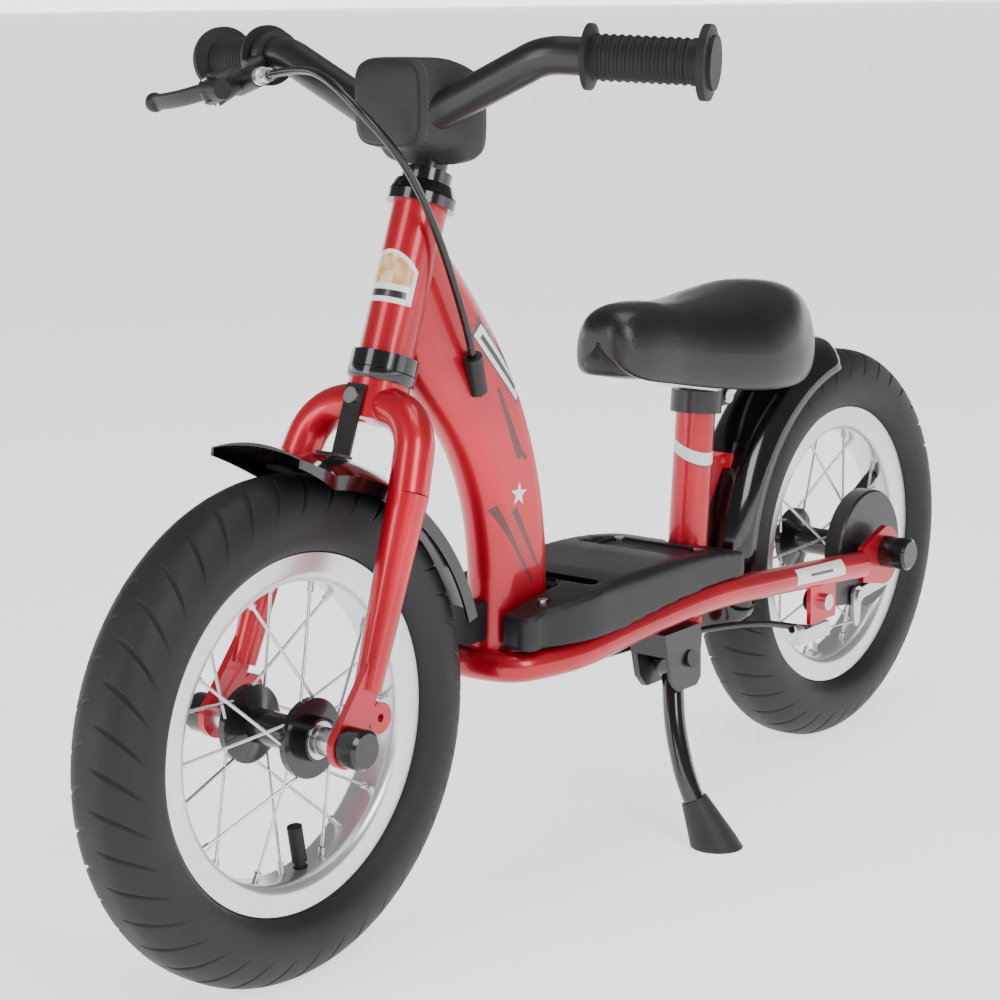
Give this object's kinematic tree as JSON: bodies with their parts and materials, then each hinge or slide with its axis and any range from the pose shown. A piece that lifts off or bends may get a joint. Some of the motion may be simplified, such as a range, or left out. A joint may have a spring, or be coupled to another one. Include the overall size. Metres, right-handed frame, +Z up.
{
  "type": "balance bike",
  "caption": "Child's balance bike: bent-tube frame with a footboard, spoked air-tyred wheels, rear drum brake worked by a bar lever, padded stem, mudguards and a fold-away stand.",
  "frame": {"origin": "on the ground, midway between the two axles, in the bike's middle plane", "axes": "+X forward, +Y to the rider's left, +Z up"},
  "size_m": [0.921, 0.4004, 0.559],
  "materials": {
    "red_paint": "gloss metallic",
    "black_paint": "satin",
    "mudguard_plastic": "gloss",
    "black_plastic": "fine grain",
    "grip_rubber": "matte",
    "tyre_rubber": "matte",
    "tube_rubber": "matte",
    "alloy": "polished",
    "hub_black": "satin",
    "zinc_steel": "zinc plated",
    "cable_jacket": "smooth",
    "saddle_leather": "grained synthetic",
    "pad_fabric": "woven cover over foam"
  },
  "bodies": {
    "frame": {"head_tube": "red_paint", "main_tube": "red_paint", "platform_tube": "red_paint", "seat_tube": "red_paint", "rear_dropouts": "red_paint", "frame_tabs": "red_paint", "frame_bumper": "black_plastic", "footboard": "black_plastic", "stand_bracket": "black_paint", "headset_cups": "black_paint", "headset_bearings": "zinc_steel", "seat_clamp": "black_paint", "rear_axle": "zinc_steel", "rear_axle_nuts": "zinc_steel", "brake_cover": "black_paint", "brake_band": "zinc_steel", "brake_bolts": "zinc_steel", "brake_cable": "cable_jacket", "cable_stop": "black_plastic", "cable_clamp": "alloy", "frame_bolts": "zinc_steel", "rear_mudguard": "mudguard_plastic"},
    "fork": {"steerer_tube": "zinc_steel", "fork_blades": "red_paint", "headset_races": "black_paint", "headset_locknut": "black_paint", "front_axle": "zinc_steel", "front_axle_nuts": "zinc_steel", "mudguard_bracket": "black_paint", "crown_bolt": "zinc_steel", "front_mudguard": "mudguard_plastic"},
    "handlebar": {"quill_stem": "black_paint", "stem_bolt": "zinc_steel", "handlebar": "black_paint", "grips": "grip_rubber", "stem_pad": "pad_fabric", "lever_perch": "black_plastic", "lever_pin": "zinc_steel", "barrel_adjuster": "alloy"},
    "brake_lever": {"brake_lever": "black_plastic"},
    "brake_arm": {"brake_arm": "alloy"},
    "front_wheel": {"front_tyre": "tyre_rubber", "front_inner_tube": "tube_rubber", "front_rim": "alloy", "front_spokes": "zinc_steel", "front_hub": "hub_black", "front_bearings": "zinc_steel"},
    "rear_wheel": {"rear_tyre": "tyre_rubber", "rear_inner_tube": "tube_rubber", "rear_rim": "alloy", "rear_spokes": "zinc_steel", "rear_hub": "hub_black", "rear_bearings": "zinc_steel", "brake_drum": "zinc_steel"},
    "stand": {"stand_leg": "black_paint", "stand_foot": "grip_rubber"},
    "seat": {"seat_post": "black_paint", "saddle": "saddle_leather", "saddle_base": "black_plastic", "saddle_rails": "zinc_steel", "saddle_clamp": "zinc_steel"}
  },
  "joints": [
    {"name": "steering", "type": "hinge", "parent": "frame", "child": "fork", "pos_m": [0.29069, 0, 0.14568], "axis": [-0.3665, 0, 0.9304], "range_deg": [-45, 45], "deforming": ["brake_cable"]},
    {"name": "handlebar_height", "type": "slide", "parent": "fork", "child": "handlebar", "axis": [-0.3665, 0, 0.9304], "range_m": [0, 0.045], "deforming": ["brake_cable"]},
    {"name": "front_wheel_spin", "type": "hinge", "parent": "fork", "child": "front_wheel", "pos_m": [0.308, 0, 0.1525], "axis": [0, 1, 0], "continuous": true},
    {"name": "rear_wheel_spin", "type": "hinge", "parent": "frame", "child": "rear_wheel", "pos_m": [-0.308, 0, 0.1525], "axis": [0, 1, 0], "continuous": true},
    {"name": "brake_lever_pull", "type": "hinge", "parent": "handlebar", "child": "brake_lever", "pos_m": [0.221, -0.124, 0.52], "axis": [-0.4774, 0.2316, -0.8476], "range_deg": [0, 20], "stiffness_Nm_per_rad": 1, "springref_deg": -5.73},
    {"name": "brake_arm_turn", "type": "hinge", "parent": "frame", "child": "brake_arm", "pos_m": [-0.283, 0.047, 0.121], "axis": [0, -1, 0], "range_deg": [0, 15], "deforming": ["brake_cable"]},
    {"name": "stand_fold", "type": "hinge", "parent": "frame", "child": "stand", "pos_m": [-0.038, 0.042, 0.124], "axis": [0, 0.9778, 0.2096], "range_deg": [0, 85]},
    {"name": "seat_height", "type": "slide", "parent": "frame", "child": "seat", "axis": [-0.1011, 0, 0.9949], "range_m": [0, 0.06]}
  ],
  "couplings": [
    {"joint": "brake_arm_turn", "follows": "brake_lever_pull", "ratio": 0.75}
  ]
}
